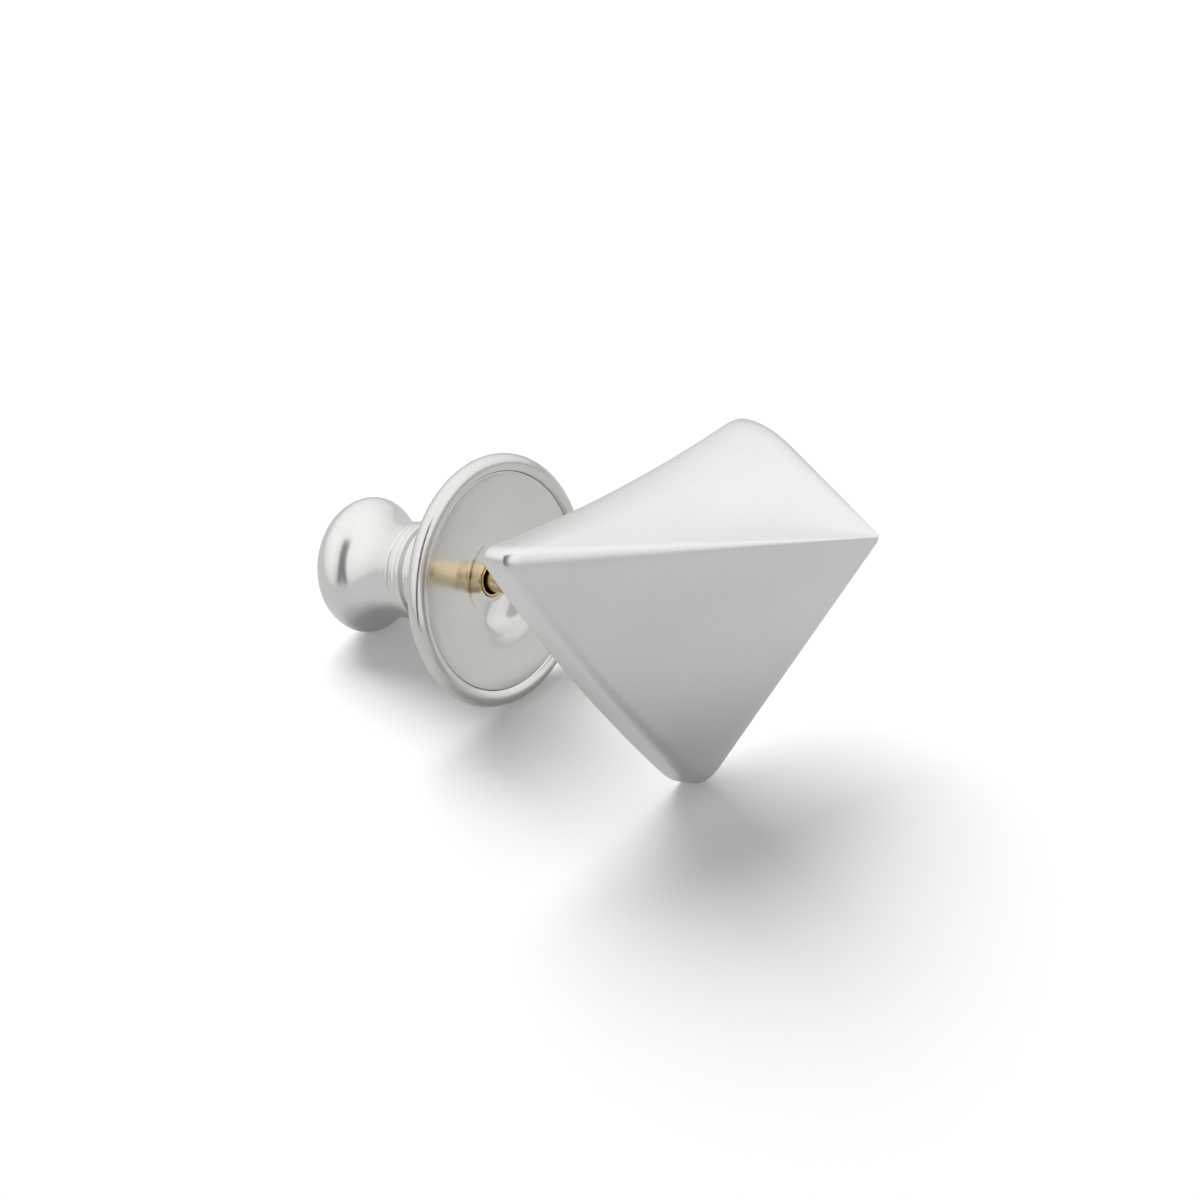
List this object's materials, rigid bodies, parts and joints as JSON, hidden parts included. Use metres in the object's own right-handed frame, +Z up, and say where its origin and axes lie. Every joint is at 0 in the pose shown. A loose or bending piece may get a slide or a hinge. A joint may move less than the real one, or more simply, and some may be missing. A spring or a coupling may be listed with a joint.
{
  "type": "tie tack",
  "caption": "Tie tack: a faceted, twisted satin metal ornament on a gold-coloured pin, held by a round ball-lock clutch with a bell-shaped pull.",
  "frame": {"origin": "middle of the tack's box, on the table it lies on, clutch rim and ornament corner down", "axes": "+Z up from the table; the pin runs from the clutch towards the ornament along +X, rising 19 degrees; +Y is across the pin"},
  "size_m": [0.022, 0.0162, 0.0138],
  "materials": {
    "satin_silver": "fine satin silver",
    "polished_silver": "soft polish",
    "gold_wire": "polished gold colour",
    "brass": "plain turned brass",
    "steel": "bright steel"
  },
  "bodies": {
    "head": {"ornament": "satin_silver", "back_plate": "satin_silver", "post_boss": "gold_wire", "post": "gold_wire"},
    "guide": {"guide_bush": "brass"},
    "clutch": {"face_plate": "satin_silver", "rim_flange": "satin_silver", "barrel": "polished_silver", "lock_sleeve": "steel", "spring_seat": "steel", "spring": "steel"},
    "plunger": {"pull_knob": "polished_silver", "knob_plug": "brass", "ball_cage": "steel"},
    "ball_1": {"lock_ball_1": "steel"},
    "ball_2": {"lock_ball_2": "steel"},
    "ball_3": {"lock_ball_3": "steel"}
  },
  "joints": [
    {"name": "clutch_slide", "type": "slide", "parent": "head", "child": "guide", "axis": [-0.9457, 0, -0.3251], "range_m": [-0.004, 0.005]},
    {"name": "clutch_spin", "type": "hinge", "parent": "guide", "child": "clutch", "pos_m": [-0.00258, -0.00031, 0.00501], "axis": [0.9457, 0, 0.3251], "continuous": true},
    {"name": "knob_pull", "type": "slide", "parent": "clutch", "child": "plunger", "axis": [-0.9457, 0, -0.3251], "range_m": [0, 0.0008], "stiffness_N_per_m": 100, "springref_m": -0.003, "deforming": ["spring"]},
    {"name": "ball_release_1", "type": "slide", "parent": "plunger", "child": "ball_1", "axis": [0, 1, 0], "range_m": [0, 0.00016]},
    {"name": "ball_release_2", "type": "slide", "parent": "plunger", "child": "ball_2", "axis": [-0.2815, -0.5, 0.819], "range_m": [0, 0.00016]},
    {"name": "ball_release_3", "type": "slide", "parent": "plunger", "child": "ball_3", "axis": [0.2815, -0.5, -0.819], "range_m": [0, 0.00016]}
  ],
  "couplings": [
    {"joint": "ball_release_1", "follows": "knob_pull", "ratio": 0.2},
    {"joint": "ball_release_2", "follows": "knob_pull", "ratio": 0.2},
    {"joint": "ball_release_3", "follows": "knob_pull", "ratio": 0.2}
  ]
}
